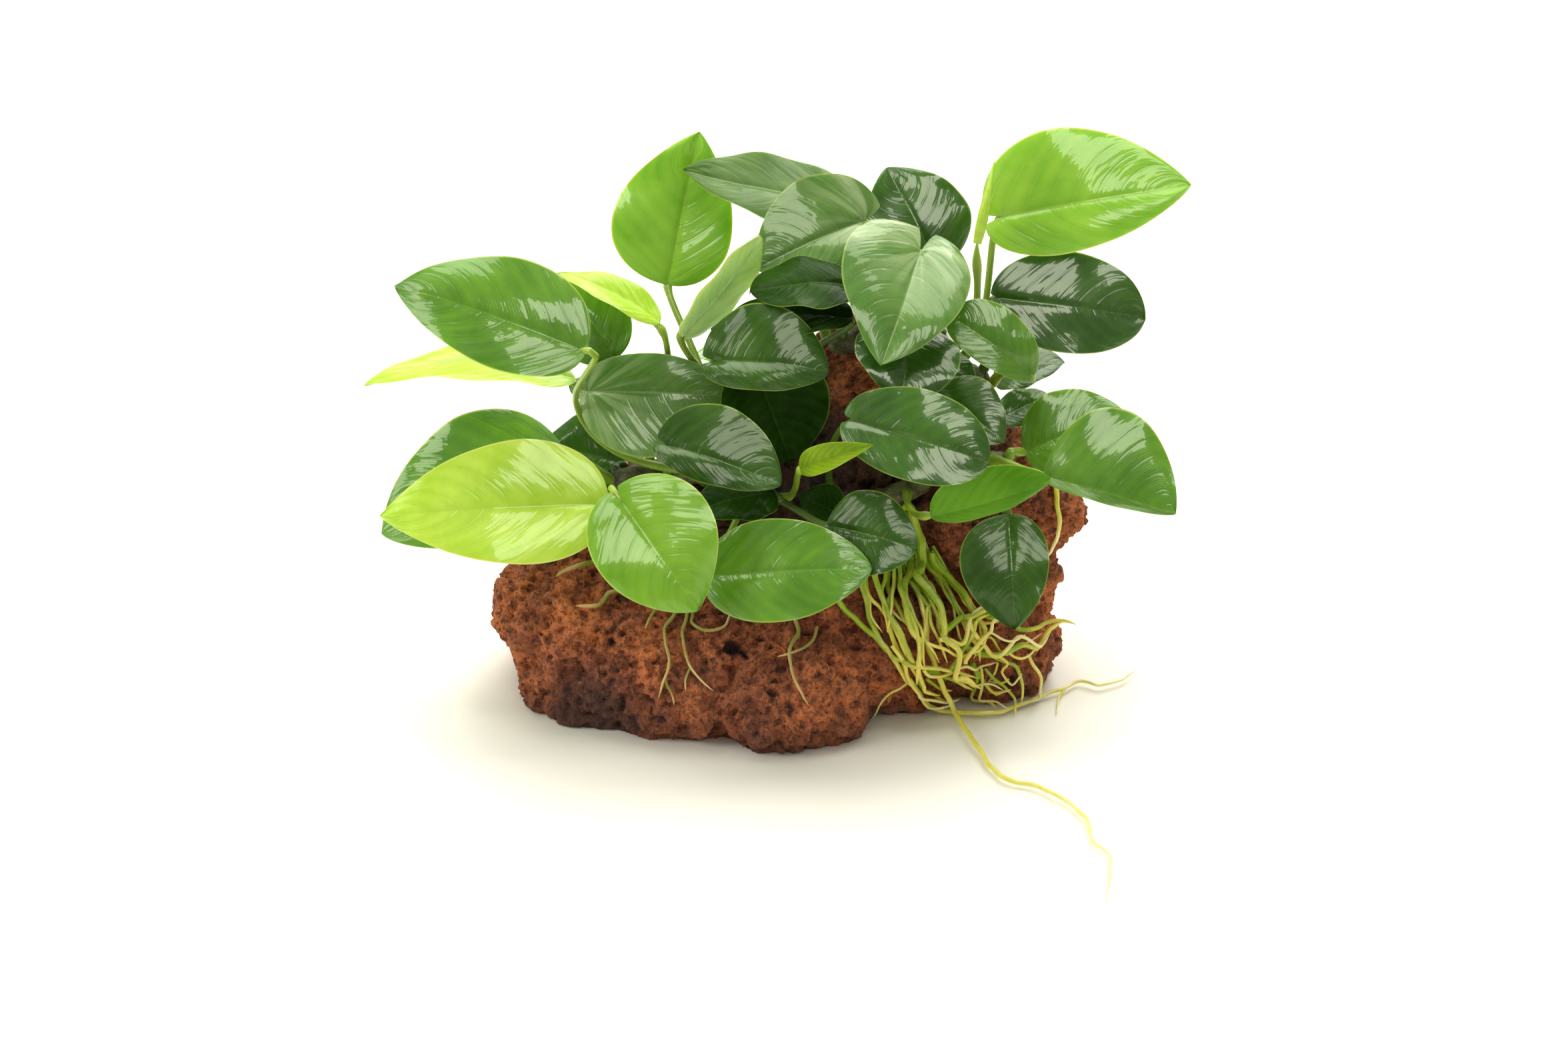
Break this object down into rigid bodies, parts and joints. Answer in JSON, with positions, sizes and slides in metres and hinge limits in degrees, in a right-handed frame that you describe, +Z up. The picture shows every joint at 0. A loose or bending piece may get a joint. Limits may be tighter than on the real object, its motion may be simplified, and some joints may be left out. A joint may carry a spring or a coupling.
{
  "type": "anubias on stone",
  "caption": "Cluster of small broad-leaved aquarium plants with creeping rhizomes and trailing roots, grown onto a craggy red lava stone.",
  "frame": {"origin": "middle of the flat underside that the stone rests on", "axes": "+Z up, +Y away from the viewer of the front, +X to that viewer's right"},
  "size_m": [0.1814, 0.1734, 0.1192],
  "materials": {
    "leaf_dark": "gloss",
    "leaf_mid": "gloss",
    "leaf_fresh": "gloss",
    "leaf_young": "gloss",
    "rhizome": "satin",
    "root": "satin",
    "lava_stone": "matte"
  },
  "bodies": {
    "root": {"stone": "lava_stone", "rhizome_left": "rhizome", "rhizome_middle": "rhizome", "rhizome_right": "rhizome", "rhizome_top": "rhizome", "rhizome_back": "rhizome", "leaf_01": "leaf_fresh", "leaf_02": "leaf_dark", "leaf_03": "leaf_dark", "leaf_04": "leaf_dark", "leaf_05": "leaf_dark", "leaf_06": "leaf_dark", "leaf_07": "leaf_dark", "leaf_08": "leaf_dark", "leaf_09": "leaf_dark", "leaf_10": "leaf_mid", "leaf_11": "leaf_dark", "leaf_12": "leaf_young", "leaf_13": "leaf_young", "leaf_14": "leaf_mid", "leaf_15": "leaf_young", "leaf_16": "leaf_fresh", "leaf_17": "leaf_dark", "leaf_18": "leaf_dark", "leaf_19": "leaf_dark", "leaf_20": "leaf_young", "leaf_22": "leaf_dark", "leaf_23": "leaf_dark", "leaf_24": "leaf_fresh", "leaf_25": "leaf_dark", "leaf_26": "leaf_fresh", "leaf_27": "leaf_young", "leaf_28": "leaf_dark", "leaf_29": "leaf_dark", "leaf_30": "leaf_mid", "leaf_31": "leaf_mid", "leaf_32": "leaf_fresh", "leaf_33": "leaf_dark", "leaf_34": "leaf_mid", "leaf_35": "leaf_dark", "leaf_36": "leaf_dark", "leaf_37": "leaf_dark", "leaf_38": "leaf_dark", "leaf_40": "leaf_dark", "leaf_41": "leaf_dark", "leaf_42": "leaf_dark", "leaf_43": "leaf_mid", "leaf_44": "leaf_dark", "leaf_45": "leaf_fresh", "root_trailing": "root", "root_floor_right": "root", "root_bundle_1": "root", "root_bundle_2": "root", "root_bundle_3": "root", "root_bundle_4": "root", "root_side": "root", "root_front_1": "root", "root_front_2": "root", "root_front_3": "root"}
  },
  "joints": []
}
